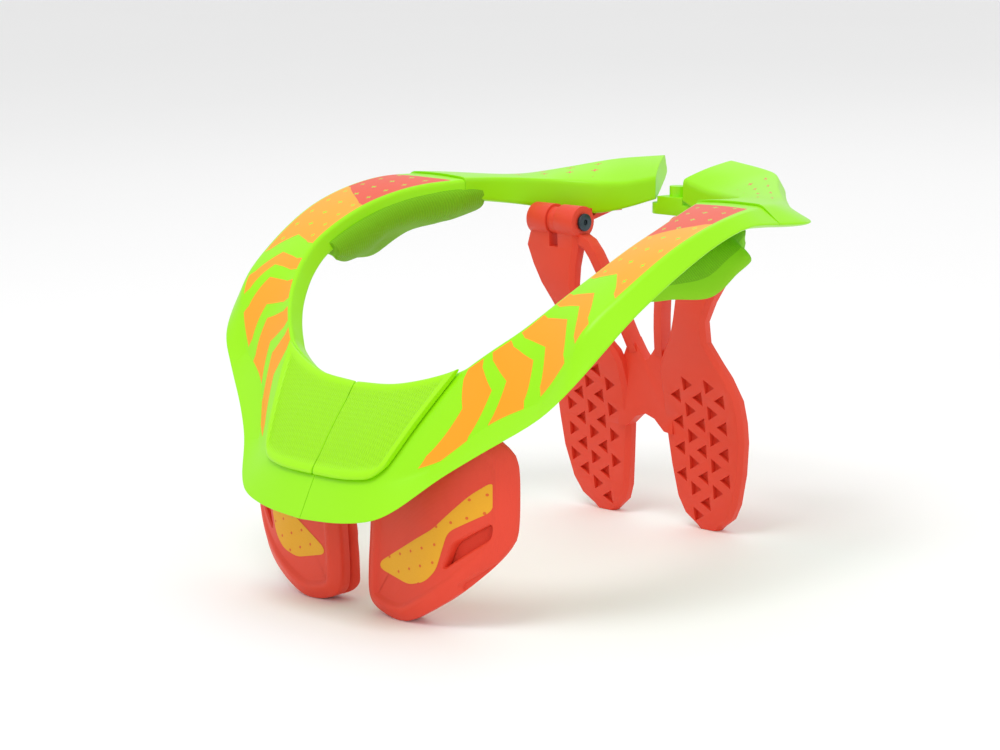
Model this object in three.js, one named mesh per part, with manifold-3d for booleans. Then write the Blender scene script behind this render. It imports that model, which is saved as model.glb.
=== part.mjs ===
// Motocross neck brace: a two-part moulded collar with a rear deck, chest plates and a pair of back wings.
// Millimetres. The wearer looks towards -Y, +X is the wearer's left and +Z is up.
import * as THREE from "three";
import { mergeVertices } from "three/addons/utils/BufferGeometryUtils.js";
import Module from "manifold-3d";

const wasm = await Module();
wasm.setup();

// Driving dimensions of the collar
const COLLAR_WIDTH = 254; // across the widest part of the outer edges
const COLLAR_LENGTH = 268; // from the foot of the front face to the rear tips
const COLLAR_HEIGHT = 184; // from the level of the feet to the rear peaks
const WALL_DEPTH = 11; // height of the wall round the neck opening
const STANCE_PITCH = 2.67; // degrees that the collar leans back on its four feet
const STANCE_LIFT = 6.4; // height of the collar's datum above the floor
const JOINT_GAP = 0.3; // clearance between pieces that touch
const COLLAR_STEPS = 26; // sections along each arm
const DECK_STEPS = 14; // sections along each half of the deck
const DECK_STEP = 1.1; // how far the deck stands above the arms

// Front inserts
const INSERT_THICKNESS = 2.6;
const INSERT_STEPS = 12;
const INSERT_CORNER = 0.2; // share of the insert's width that its round front corner takes

// Shoulder pads under the arms
const SHOULDER_PAD_THICKNESS = 5; // over the wall of the neck opening
const SHOULDER_PAD_REACH = 30; // how far the pads spread under the arms

// Chest plates
const CHEST_WIDTH = 77;
const CHEST_HEIGHT = COLLAR_HEIGHT / 2; // up to the arms' undersides
const CHEST_INNER = 9; // from the middle of the brace to the plate's inner edge
const CHEST_FRONT = 30; // from the front of the collar to the plate's foremost line
const CHEST_FLAT = 32; // width of the flat part, from the inner edge
const CHEST_WRAP_RADIUS = 52.6; // outside it the plates wrap round the ribs
const CHEST_SHELL = 9; // thickness of the hard shell
const CHEST_BEVEL = 5; // width of the bevel round the shell's raised face
const CHEST_LINER = 9; // thickness of the soft liner behind it
const CHEST_TAPER = 0.6; // how much of their thickness the plates lose at the outer edge
const CHEST_SINK = 6; // how far the plate's foot starts below the collar's datum
const NOTCH_DEPTH = 5;
const SWEEP_STEP = 8; // between the copies of an arm that trim the plate, less than the arm's own thickness

// Back wings
const WING_SPAN = 134; // across both wings at their widest
const WING_HEIGHT = COLLAR_HEIGHT * 0.87; // from the datum to the top of the forks
const WING_THICKNESS = 8;
const PIVOT_HEIGHT = WING_HEIGHT - 6.5;
const PIVOT_BACK = COLLAR_LENGTH * 0.8004; // from the front of the collar
const FORK_WIDTH = 31.5;
const FORK_OUTER = 62.5; // from the middle of the brace to the fork's outer side
const FORK_RADIUS = 8;
const SLOT_WIDTH = 5.8;
const SLOT_DEPTH = 13; // below the bolt
const TONGUE_THICKNESS = 5.2;
const FOOT_WIDTH = 18;
const FOOT_LENGTH = 11;
const FOOT_BACK = PIVOT_BACK + 25; // from the front of the collar
const BORE_CLEARANCE = 0.3;
const BOLT_RADIUS = 2.6;
const BOLT_HEAD_RADIUS = 4.4;
const BOLT_HEAD_HEIGHT = 1.6;
const BOLT_SOCKET_RADIUS = 1.5;
const POCKET_SIDE = 7.4;
const POCKET_DEPTH = 2.6;
const POCKET_PITCH = 13.3;
const POCKET_COLUMN = 7;
const POCKET_COLUMNS = 7;
const POCKET_MARGIN = 2;

// Rear hub
const HUB_WIDTH = 16.6;
const HUB_LENGTH = 13;
const HUB_HEIGHT = 9;
const HUB_BACK = COLLAR_LENGTH - 24; // from the front of the collar
const HUB_BASE = COLLAR_HEIGHT - 26.8; // above the datum
const HUB_FLANGE_WIDTH = 30;
const HUB_FLANGE_HEIGHT = 5.4;
const HUB_KNOB_RADIUS = 4.4;
const HUB_KNOB_HEIGHT = 5.2;

const HALF = COLLAR_WIDTH / 2;

// Each row is a section of one arm, front to rear: shares of half the width, the length and the height
// for the edge round the neck, the ridge of the top face and the outer skirt, and the wall's lean in degrees.
const ARM_SECTIONS = [
  { place: "seam", inner: [0, 0.14, 0.534], ridge: [0, 0.035, 0.319], skirt: [0, 0, 0.217], lean: 50 },
  { place: "slab", inner: [0.213, 0.144, 0.545], ridge: [0.173, 0.037, 0.322], skirt: [0.205, 0.006, 0.226], lean: 50 },
  { place: "corner", inner: [0.441, 0.176, 0.595], ridge: [0.299, 0.053, 0.335], skirt: [0.37, 0.024, 0.253], lean: 52 },
  { place: "throat", inner: [0.484, 0.187, 0.62], ridge: [0.465, 0.104, 0.372], skirt: [0.516, 0.087, 0.352], lean: 54 },
  { place: "neck", inner: [0.535, 0.204, 0.651], ridge: [0.606, 0.157, 0.446], skirt: [0.647, 0.129, 0.422], lean: 56 },
  { place: "bend", inner: [0.594, 0.231, 0.689], ridge: [0.764, 0.197, 0.535], skirt: [0.809, 0.173, 0.502], lean: 57 },
  { place: "bow", inner: [0.642, 0.263, 0.731], ridge: [0.846, 0.216, 0.625], skirt: [0.903, 0.199, 0.573], lean: 56 },
  { place: "shoulder", inner: [0.679, 0.297, 0.77], ridge: [0.887, 0.239, 0.707], skirt: [0.955, 0.248, 0.654], lean: 50 },
  { place: "flank", inner: [0.713, 0.347, 0.817], ridge: [0.926, 0.31, 0.788], skirt: [0.984, 0.306, 0.732], lean: 42 },
  { place: "side", inner: [0.724, 0.426, 0.871], ridge: [0.952, 0.414, 0.877], skirt: [1, 0.414, 0.826], lean: 28 },
  { place: "rear", inner: [0.717, 0.498, 0.907], ridge: [0.954, 0.503, 0.923], skirt: [1, 0.504, 0.884], lean: 16 },
  { place: "tail", inner: [0.673, 0.579, 0.935], ridge: [0.939, 0.593, 0.948], skirt: [0.996, 0.586, 0.915], lean: 6 },
  { place: "joint", inner: [0.598, 0.66, 0.947], ridge: [0.902, 0.66, 0.951], skirt: [0.992, 0.662, 0.91], lean: 0 },
];
const INSERT_LAST_SECTION = 2; // the insert reaches as far as the corner section

// The same columns for one half of the rear deck, from the arm's end to the gap in the middle.
// Where the wall is deeper than WALL_DEPTH, the last column says how many times.
const DECK_SECTIONS = [
  { place: "joint", inner: [0.598, 0.66, 0.947], ridge: [0.902, 0.66, 0.951], skirt: [0.992, 0.662, 0.91], lean: 0 },
  { place: "ear", inner: [0.594, 0.731, 0.941], ridge: [0.874, 0.716, 0.946], skirt: [0.992, 0.75, 0.905], lean: 0, deep: 1.1 },
  { place: "waist", inner: [0.539, 0.8, 0.934], ridge: [0.695, 0.838, 0.935], skirt: [0.732, 0.847, 0.908], lean: 0, deep: 1.25 },
  { place: "back", inner: [0.449, 0.851, 0.926], ridge: [0.559, 0.901, 0.954], skirt: [0.587, 0.912, 0.924], lean: 0, deep: 1.45 },
  { place: "crest", inner: [0.331, 0.881, 0.923], ridge: [0.437, 0.966, 0.976], skirt: [0.457, 0.978, 0.94], lean: 0, deep: 1.45 },
  { place: "peak", inner: [0.213, 0.896, 0.927], ridge: [0.367, 0.978, 0.984], skirt: [0.378, 0.989, 0.946], lean: 0, deep: 1.2 },
  { place: "gap", inner: [0.071, 0.909, 0.948], ridge: [0.177, 0.991, 0.998], skirt: [0.18, 1, 0.957], lean: 0 },
];

// Outline of a chest plate, seen from the front: shares of its width and height from its inner bottom corner.
const CHEST_OUTLINE = [
  [0, 0.239],
  [0, 0.076],
  [0.046, 0.043],
  [0.124, 0.022],
  [0.32, 0],
  [0.516, 0.087],
  [0.7, 0.185],
  [0.895, 0.342],
  [0.987, 0.457],
  [1, 0.56],
  [1, 0.815],
  [0.974, 0.891],
  [0.908, 0.951],
  [0.83, 1],
  [0.06, 0.978],
  [0.02, 0.435],
];
// Corners of the window through the plate and of the notch in its lower rim, as the same shares.
const CHEST_WINDOW = [
  [0.62, 0.308],
  [0.68, 0.436],
  [0.89, 0.552],
  [0.885, 0.475],
];
const CHEST_NOTCH = [
  [0.71, 0.235],
  [0.76, 0.18],
  [0.965, 0.35],
  [0.94, 0.385],
];

// Sections of one wing, top to bottom: shares of the wings' height, of half their span for both edges,
// of the collar's length for the middle plane, and of the wing's thickness.
const WING_SECTIONS = [
  { height: 0.938, inner: 0.463, outer: 0.933, back: 0.8004, thickness: 1.3 },
  { height: 0.912, inner: 0.47, outer: 0.97, back: 0.8004, thickness: 1.2 },
  { height: 0.875, inner: 0.478, outer: 1, back: 0.8004, thickness: 1.15 },
  { height: 0.819, inner: 0.493, outer: 0.925, back: 0.7966, thickness: 1.1 },
  { height: 0.762, inner: 0.5, outer: 0.84, back: 0.7959, thickness: 1.06 },
  { height: 0.7, inner: 0.448, outer: 0.75, back: 0.8041, thickness: 1 },
  { height: 0.631, inner: 0.358, outer: 0.712, back: 0.8209, thickness: 1 },
  { height: 0.562, inner: 0.224, outer: 0.785, back: 0.8377, thickness: 1 },
  { height: 0.525, inner: 0.19, outer: 0.845, back: 0.8433, thickness: 1 },
  { height: 0.456, inner: 0.179, outer: 0.91, back: 0.8545, thickness: 1 },
  { height: 0.388, inner: 0.179, outer: 0.925, back: 0.8619, thickness: 1 },
  { height: 0.325, inner: 0.181, outer: 0.921, back: 0.8675, thickness: 1 },
  { height: 0.225, inner: 0.209, outer: 0.888, back: 0.8731, thickness: 1 },
  { height: 0.125, inner: 0.246, outer: 0.818, back: 0.8806, thickness: 1 },
  { height: 0.075, inner: 0.299, outer: 0.746, back: 0.8862, thickness: 1 },
  { height: 0.044, inner: 0.388, outer: 0.642, back: 0.89, thickness: 0.9 },
  { height: 0.02, inner: 0.448, outer: 0.582, back: 0.8918, thickness: 0.7 },
];
// Right half of the bridge between the wings, from its top notch down: shares of half the span and the height.
const BRIDGE_OUTLINE = [
  [0, 0.54],
  [0.022, 0.545],
  [0.067, 0.568],
  [0.127, 0.605],
  [0.19, 0.575],
  [0.27, 0.5],
  [0.27, 0.32],
  [0.185, 0.325],
  [0.09, 0.36],
  [0, 0.372],
];
const BRIDGE_BACK = 0.8601; // share of the collar's length
const BRIDGE_THICKNESS = 6;
// Middle line of the strut from the bridge up to the fork: shares of half the span, the length and the height.
const STRUT_LINE = [
  [0.13, 0.8604, 0.565],
  [0.179, 0.8433, 0.65],
  [0.236, 0.8284, 0.7375],
  [0.313, 0.8134, 0.825],
  [0.403, 0.8041, 0.894],
  [0.55, 0.8022, 0.92],
];
const STRUT_WIDTH = 5;
const STRUT_DEPTH = 7;
const STRUT_STEPS = 10;

// Looks of the materials
const GREEN = new THREE.MeshStandardMaterial({ color: 0x9ff81e, roughness: 0.38, metalness: 0 });
const LIME = new THREE.MeshStandardMaterial({ color: 0xa8f010, roughness: 0.5, metalness: 0 });
const PAD_GREEN = new THREE.MeshStandardMaterial({ color: 0x74b808, roughness: 0.85, metalness: 0 });
const RED = new THREE.MeshStandardMaterial({ color: 0xf2553a, roughness: 0.5, metalness: 0 });
const LINER_RED = new THREE.MeshStandardMaterial({ color: 0xe84c34, roughness: 0.8, metalness: 0 });
const STEEL = new THREE.MeshStandardMaterial({ color: 0x4a5358, roughness: 0.4, metalness: 0.8 });

// A closed geometry as a manifold solid.
function solidOf(geometry) {
  const bare = new THREE.BufferGeometry();
  bare.setAttribute("position", geometry.getAttribute("position").clone());
  if (geometry.index) bare.setIndex(geometry.index.clone());
  const merged = mergeVertices(bare, 1e-4);
  const mesh = new wasm.Mesh({
    numProp: 3,
    vertProperties: new Float32Array(merged.attributes.position.array),
    triVerts: new Uint32Array(merged.index.array),
  });
  return new wasm.Manifold(mesh);
}

// A manifold solid as a geometry.
function geometryOf(solid) {
  const mesh = solid.getMesh();
  const geometry = new THREE.BufferGeometry();
  geometry.setAttribute("position", new THREE.BufferAttribute(new Float32Array(mesh.vertProperties), 3));
  geometry.setIndex(new THREE.BufferAttribute(new Uint32Array(mesh.triVerts), 1));
  geometry.computeVertexNormals();
  return geometry;
}

// Closed skin over rings of equal length, with a fan over each end, facing out.
function loft(rings) {
  const count = rings[0].length;
  const points = rings.flat();
  const faces = [];
  for (let row = 0; row + 1 < rings.length; row++) {
    for (let column = 0; column < count; column++) {
      const next = (column + 1) % count;
      const a = row * count + column;
      const b = row * count + next;
      const [c, d] = [b + count, a + count];
      // The shorter diagonal, so that two faces of the same shape are split alike.
      if (points[a].distanceTo(points[c]) < points[b].distanceTo(points[d])) faces.push(a, b, c, a, c, d);
      else faces.push(a, b, d, b, c, d);
    }
  }
  for (const [row, turn] of [[0, -1], [rings.length - 1, 1]]) {
    const middle = new THREE.Vector3();
    rings[row].forEach((point) => middle.addScaledVector(point, 1 / count));
    points.push(middle);
    for (let column = 0; column < count; column++) {
      const a = row * count + column;
      const b = row * count + ((column + 1) % count);
      faces.push(points.length - 1, turn > 0 ? a : b, turn > 0 ? b : a);
    }
  }
  const geometry = new THREE.BufferGeometry().setFromPoints(points);
  geometry.setIndex(faces);
  return facingOut(geometry);
}

function turnFaces(geometry) {
  const index = geometry.index.array;
  for (let i = 0; i < index.length; i += 3) [index[i + 1], index[i + 2]] = [index[i + 2], index[i + 1]];
  return geometry;
}

function facingOut(geometry) {
  const { array } = geometry.attributes.position;
  const corner = (i) => new THREE.Vector3().fromArray(array, geometry.index.array[i] * 3);
  let volume = 0;
  for (let i = 0; i < geometry.index.count; i += 3) volume += corner(i).dot(corner(i + 1).cross(corner(i + 2)));
  if (volume < 0) turnFaces(geometry);
  geometry.computeVertexNormals();
  return geometry;
}

// The wearer's right piece from the left one.
function mirrored(geometry) {
  const copy = geometry.clone().scale(-1, 1, 1);
  turnFaces(copy);
  copy.computeVertexNormals();
  return copy;
}

// The largest body of a solid, without the slivers that a cut leaves.
function mainBody(solid) {
  const bodies = solid.decompose();
  bodies.sort((a, b) => b.volume() - a.volume());
  return bodies[0];
}

function boxSolid(width, depth, height, x, y, z) {
  return solidOf(new THREE.BoxGeometry(width, depth, height).translate(x, y, z));
}

function cylinderAlongX(radius, from, to, y, z, sides = 20) {
  const bar = new THREE.CylinderGeometry(radius, radius, to - from, sides);
  return bar.rotateZ(Math.PI / 2).translate((from + to) / 2, y, z);
}

// A point given as shares of the collar's half width, length and height.
function collarPoint([across, along, up]) {
  return new THREE.Vector3(across * HALF, along * COLLAR_LENGTH, up * COLLAR_HEIGHT);
}

// The four edges of a collar section as smooth curves through the rows of a table.
function collarCurves(sections) {
  const through = (points) => new THREE.CatmullRomCurve3(points, false, "centripetal");
  const base = sections.map((row) => {
    const lean = THREE.MathUtils.degToRad(row.lean);
    const drop = new THREE.Vector3(0, Math.sin(lean), -Math.cos(lean)).multiplyScalar(WALL_DEPTH * (row.deep ?? 1));
    return collarPoint(row.inner).add(drop);
  });
  return {
    inner: through(sections.map((row) => collarPoint(row.inner))),
    ridge: through(sections.map((row) => collarPoint(row.ridge))),
    skirt: through(sections.map((row) => collarPoint(row.skirt))),
    base: through(base),
  };
}

function mix(a, b, share) {
  return a.clone().lerp(b, share);
}

const EDGE_SHARE = 0.07; // softened corner, as a share of a section's side
const HEM_SHARE = 0.16; // where the underside turns up to the skirt
const HEM_DROP = 1.2;
const CROWN = 1.4; // rise of the top face between its edges

// One section of the collar as a ring, from the four edges at a parameter of their curves.
function collarRing(curves, t, lift) {
  const inner = curves.inner.getPoint(t);
  const ridge = curves.ridge.getPoint(t);
  const skirt = curves.skirt.getPoint(t);
  const base = curves.base.getPoint(t);
  inner.z += lift;
  ridge.z += lift;
  const hem = mix(skirt, base, HEM_SHARE);
  hem.z -= HEM_DROP;
  const across = ridge.clone().sub(inner);
  const crown = new THREE.Vector3(0, -1, 1).multiplyScalar(CROWN / Math.SQRT2);
  const third = mix(inner, ridge, 1 / 3).add(crown);
  const twoThirds = mix(inner, ridge, 2 / 3).add(crown);
  const ring = [
    mix(inner, base, EDGE_SHARE * 2),
    inner.clone().addScaledVector(across, EDGE_SHARE),
    third,
    twoThirds,
    ridge.clone().addScaledVector(across, -EDGE_SHARE),
    mix(ridge, skirt, EDGE_SHARE * 2),
    skirt,
    hem,
    mix(hem, base, 0.5),
    base,
  ];
  return ring;
}

// Keeps a ring on its own side of the middle plane.
function besideMiddle(ring, gap) {
  ring.forEach((point) => (point.x = Math.max(point.x, gap)));
  return ring;
}

function armGeometry(curves) {
  const rings = [];
  for (let step = 0; step <= COLLAR_STEPS; step++) {
    rings.push(besideMiddle(collarRing(curves, step / COLLAR_STEPS, 0), JOINT_GAP / 2));
  }
  return loft(rings);
}

const FORK_MIDDLE = FORK_OUTER - FORK_WIDTH / 2;

function deckSolid(curves) {
  const rings = [];
  for (let step = 0; step <= DECK_STEPS; step++) {
    const ring = collarRing(curves, step / DECK_STEPS, DECK_STEP);
    if (step === 0) ring.forEach((point) => (point.y += JOINT_GAP));
    rings.push(ring);
  }
  return solidOf(loft(rings));
}

// Insert over the front of an arm: rings run across it, from the seam to its outer edge.
function insertGeometry(curves) {
  const lastShare = INSERT_LAST_SECTION / (ARM_SECTIONS.length - 1);
  const rings = [];
  for (let step = 0; step <= INSERT_STEPS; step++) {
    const share = step / INSERT_STEPS;
    const t = share * lastShare;
    const inner = curves.inner.getPoint(t);
    const ridge = curves.ridge.getPoint(t);
    const down = ridge.clone().sub(inner);
    const side = curves.inner.getPoint(t + 0.01).sub(inner);
    const out = down.clone().cross(side).normalize();
    if (out.z < 0) out.negate();
    const turn = Math.max(0, (share - 1 + INSERT_CORNER) / INSERT_CORNER);
    const front = 0.985 - 0.14 * (1 - Math.sqrt(1 - turn * turn * 0.96));
    const place = (v, height) => {
      const crown = CROWN * Math.min(1, Math.min(v, 1 - v) * 3);
      return mix(inner, ridge, v).addScaledVector(out, crown + height);
    };
    const rim = INSERT_THICKNESS * 0.65;
    const ring = [
      place(0.012, JOINT_GAP + 0.1),
      place(0.012, rim),
      place(0.05, INSERT_THICKNESS),
      place(0.35, INSERT_THICKNESS),
      place(0.65, INSERT_THICKNESS),
      place(front - 0.05, INSERT_THICKNESS),
      place(front, rim),
      place(front, JOINT_GAP + 0.1),
      place(0.65, JOINT_GAP + 0.1),
      place(0.35, JOINT_GAP + 0.1),
    ];
    rings.push(besideMiddle(ring, JOINT_GAP / 2));
  }
  return solidOf(loft(rings));
}

// A shoulder pad's section at each place: the share of the way along the arm (above 1, on the deck),
// and for its foot, hem and lip the steps outwards, back and down from the wall's foot, as shares of its reach.
const SHOULDER_PAD_SECTIONS = [
  { place: 0.68, foot: [0.05, 0.1, 0.12], hem: [0.1, 0.12, 0.2], lip: [0.14, 0.06, 0.08], full: 0.5 },
  { place: 0.72, foot: [0.16, 0.22, 0.32], hem: [0.3, 0.2, 0.42], lip: [0.36, 0.17, 0.3], full: 0.8 },
  { place: 0.76, foot: [0.24, 0.26, 0.38], hem: [0.44, 0.24, 0.54], lip: [0.5, 0.22, 0.42], full: 1 },
  { place: 0.84, foot: [0.33, 0.17, 0.33], hem: [0.65, 0.35, 0.73], lip: [0.72, 0.34, 0.6], full: 1 },
  { place: 0.89, foot: [0.38, 0.3, 0.28], hem: [0.82, 0.5, 0.53], lip: [0.88, 0.46, 0.4], full: 1 },
  { place: 0.935, foot: [0.37, 0.47, 0.33], hem: [0.93, 0.5, 0.43], lip: [0.97, 0.44, 0.3], full: 1 },
  { place: 1, foot: [0.47, 0.23, 0.32], hem: [0.85, 0.2, 0.45], lip: [0.88, 0.14, 0.33], full: 0.9 },
  { place: 1.14, foot: [0.33, 0.13, 0.17], hem: [0.5, 0.07, 0.24], lip: [0.5, 0.02, 0.14], full: 0.5 },
];
const SHOULDER_PAD_SPLIT = 3; // sections between two rows of the table

// A padded strip that lines the wall of the neck opening and spreads under the arm.
function shoulderPadGeometry(armCurves, deckCurves) {
  const rows = SHOULDER_PAD_SECTIONS.map((row) => {
    const curves = row.place <= 1 ? armCurves : deckCurves;
    const t = row.place <= 1 ? row.place : row.place - 1;
    const inner = curves.inner.getPoint(t);
    const base = curves.base.getPoint(t);
    const skirt = curves.skirt.getPoint(t);
    const step = ([out, back, down]) => new THREE.Vector3(out, back, -down).multiplyScalar(SHOULDER_PAD_REACH).add(base);
    const inwards = inner.clone().setZ(0).sub(new THREE.Vector3(0, COLLAR_LENGTH / 2, 0)).normalize().negate();
    const thick = SHOULDER_PAD_THICKNESS * row.full;
    const top = mix(inner, base, 0.25);
    const foot = step(row.foot);
    const lip = step(row.lip);
    const root = mix(base, skirt, 0.35).add(new THREE.Vector3(0, 0, -JOINT_GAP * 3));
    return [
      top.clone().addScaledVector(inwards, JOINT_GAP * 2),
      top.clone().addScaledVector(inwards, thick * 0.7).add(new THREE.Vector3(0, 0, -1)),
      mix(base, foot, 0.15).addScaledVector(inwards, thick),
      mix(base, foot, 0.7).addScaledVector(inwards, thick * 0.75),
      foot,
      step(row.hem),
      lip,
      mix(lip, root, 0.5).add(new THREE.Vector3(1.5, 0, 1.5)),
      root,
      base.clone().addScaledVector(inwards, JOINT_GAP * 2),
    ];
  });
  const lines = rows[0].map((_, column) => new THREE.CatmullRomCurve3(rows.map((row) => row[column]), false, "centripetal"));
  const steps = (rows.length - 1) * SHOULDER_PAD_SPLIT;
  const rings = [];
  for (let step = 0; step <= steps; step++) rings.push(lines.map((line) => line.getPoint(step / steps)));
  return solidOf(loft(rings));
}

// Where the front of the chest plates lies at a distance from the middle.
function chestLine(x) {
  const bend = Math.max(0, x - CHEST_INNER - CHEST_FLAT);
  return CHEST_FRONT + (bend * bend) / (2 * CHEST_WRAP_RADIUS);
}

// What is left of the plates' thickness at a distance from the middle.
function chestTaper(x) {
  return 1 - CHEST_TAPER * THREE.MathUtils.clamp((x - CHEST_INNER) / CHEST_WIDTH, 0, 1);
}

function chestPoint([across, up]) {
  return new THREE.Vector2(CHEST_INNER + across * CHEST_WIDTH, up * CHEST_HEIGHT - CHEST_SINK);
}

// The plate's outline at a depth behind its front line, moved inwards by a distance and then
// shrunk towards the middle by a share.
function chestRing(inset, depth, shrink = 0) {
  const corners = CHEST_OUTLINE.map(chestPoint);
  const middle = new THREE.Vector2(CHEST_INNER + CHEST_WIDTH / 2, CHEST_HEIGHT / 2 - CHEST_SINK);
  const split = corners.flatMap((corner, i) => [corner, corner.clone().lerp(corners[(i + 1) % corners.length], 0.5)]);
  return split.map((corner) => {
    const reach = middle.clone().sub(corner).normalize();
    const moved = corner.clone().addScaledVector(reach, inset).lerp(middle, shrink);
    return new THREE.Vector3(moved.x, chestLine(moved.x) + depth * chestTaper(moved.x), moved.y);
  });
}

// A face of the plate or the liner as rings that shrink to the middle, so that it follows the curve.
function chestFace(inset, depth) {
  return [0.9, 0.6, 0.3, 0].map((shrink) => chestRing(inset, depth, shrink));
}

// A cut from in front of the plate to a depth behind its front line.
function chestCut(corners, depth) {
  const outline = corners.map(chestPoint);
  const split = outline.flatMap((corner, i) => [0, 1 / 3, 2 / 3].map((share) => corner.clone().lerp(outline[(i + 1) % outline.length], share)));
  const ring = (back) => split.map((point) => new THREE.Vector3(point.x, chestLine(point.x) + back * chestTaper(point.x), point.y));
  return solidOf(loft([ring(-CHEST_FRONT), ring(depth)]));
}

function chestShellSolid() {
  const rings = [
    ...chestFace(CHEST_BEVEL, 0),
    chestRing(CHEST_BEVEL * 0.45, CHEST_SHELL * 0.35),
    chestRing(0, CHEST_SHELL * 0.6),
    ...chestFace(0, CHEST_SHELL).reverse(),
  ];
  return solidOf(loft(rings)).subtract(chestCut(CHEST_WINDOW, CHEST_SHELL + 1)).subtract(chestCut(CHEST_NOTCH, NOTCH_DEPTH));
}

function chestLinerSolid() {
  const start = CHEST_SHELL + JOINT_GAP / (1 - CHEST_TAPER);
  const rings = [
    ...chestFace(0, start),
    chestRing(0.8, start + CHEST_LINER * 0.7),
    ...chestFace(3, start + CHEST_LINER).reverse(),
  ];
  return solidOf(loft(rings));
}

function wingRing(row) {
  const half = WING_SPAN / 2;
  const left = row.inner * half;
  const right = row.outer * half;
  const middle = row.back * COLLAR_LENGTH;
  const depth = (row.thickness * WING_THICKNESS) / 2;
  const chamfer = Math.min(2.2, (right - left) / 5);
  const z = row.height * WING_HEIGHT;
  return [
    new THREE.Vector3(left, middle - depth + chamfer, z),
    new THREE.Vector3(left + chamfer, middle - depth, z),
    new THREE.Vector3(right - chamfer, middle - depth, z),
    new THREE.Vector3(right, middle - depth + chamfer, z),
    new THREE.Vector3(right, middle + depth - chamfer, z),
    new THREE.Vector3(right - chamfer, middle + depth, z),
    new THREE.Vector3(left + chamfer, middle + depth, z),
    new THREE.Vector3(left, middle + depth - chamfer, z),
  ];
}

function strutSolid() {
  const half = WING_SPAN / 2;
  const line = new THREE.CatmullRomCurve3(
    STRUT_LINE.map(([x, y, z]) => new THREE.Vector3(x * half, y * COLLAR_LENGTH, z * WING_HEIGHT)),
  );
  const rings = [];
  for (let step = 0; step <= STRUT_STEPS; step++) {
    const centre = line.getPoint(step / STRUT_STEPS);
    const along = line.getTangent(step / STRUT_STEPS);
    const side = new THREE.Vector3(0, 1, 0).cross(along).normalize();
    const back = along.clone().cross(side).normalize();
    const corner = (u, v) => centre.clone().addScaledVector(side, (u * STRUT_WIDTH) / 2).addScaledVector(back, (v * STRUT_DEPTH) / 2);
    rings.push([corner(-1, -1), corner(1, -1), corner(1, 1), corner(-1, 1)]);
  }
  return solidOf(loft(rings));
}

// Limits of a wing at a height: its edges and the plane of its front face.
function wingAt(z) {
  const up = z / WING_HEIGHT;
  const next = WING_SECTIONS.findIndex((row) => row.height <= up);
  const upper = WING_SECTIONS[Math.max(0, next - 1)];
  const lower = WING_SECTIONS[next < 0 ? WING_SECTIONS.length - 1 : next];
  const between = (name) => THREE.MathUtils.mapLinear(up, upper.height, lower.height, upper[name], lower[name]);
  return {
    inner: (between("inner") * WING_SPAN) / 2,
    outer: (between("outer") * WING_SPAN) / 2,
    front: between("back") * COLLAR_LENGTH - (between("thickness") * WING_THICKNESS) / 2,
  };
}

// Triangular pockets in the front of a wing, in columns that alternate their direction.
function pocketSolids() {
  const pockets = [];
  const half = WING_SPAN / 2;
  const middle = 0.55 * half;
  const radius = POCKET_SIDE / Math.sqrt(3);
  for (let column = 0; column < POCKET_COLUMNS; column++) {
    const x = middle + (column - (POCKET_COLUMNS - 1) / 2) * POCKET_COLUMN;
    const pointsOut = column % 2 === 0;
    const start = 0.075 * WING_HEIGHT + (pointsOut ? 0 : POCKET_PITCH / 2);
    for (let z = start; z < 0.53 * WING_HEIGHT; z += POCKET_PITCH) {
      const rows = [-0.5, 0, 0.5].map((share) => wingAt(z + share * POCKET_SIDE));
      const reach = POCKET_SIDE * 0.45 + POCKET_MARGIN;
      if (x - reach < Math.max(...rows.map((row) => row.inner))) continue;
      if (x + reach > Math.min(...rows.map((row) => row.outer))) continue;
      const pocket = new THREE.CylinderGeometry(radius, radius, 2 * POCKET_DEPTH, 3);
      pocket.rotateY(pointsOut ? Math.PI / 2 : -Math.PI / 2);
      pockets.push(solidOf(pocket.translate(x, rows[1].front, z)));
    }
  }
  return pockets;
}

// The floor in the collar's own frame, as a block below it.
function floorBlock() {
  const block = new THREE.BoxGeometry(4 * COLLAR_WIDTH, 4 * COLLAR_LENGTH, COLLAR_HEIGHT);
  block.translate(0, 0, -COLLAR_HEIGHT / 2 - STANCE_LIFT);
  return solidOf(block.rotateX(THREE.MathUtils.degToRad(STANCE_PITCH)));
}

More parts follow.
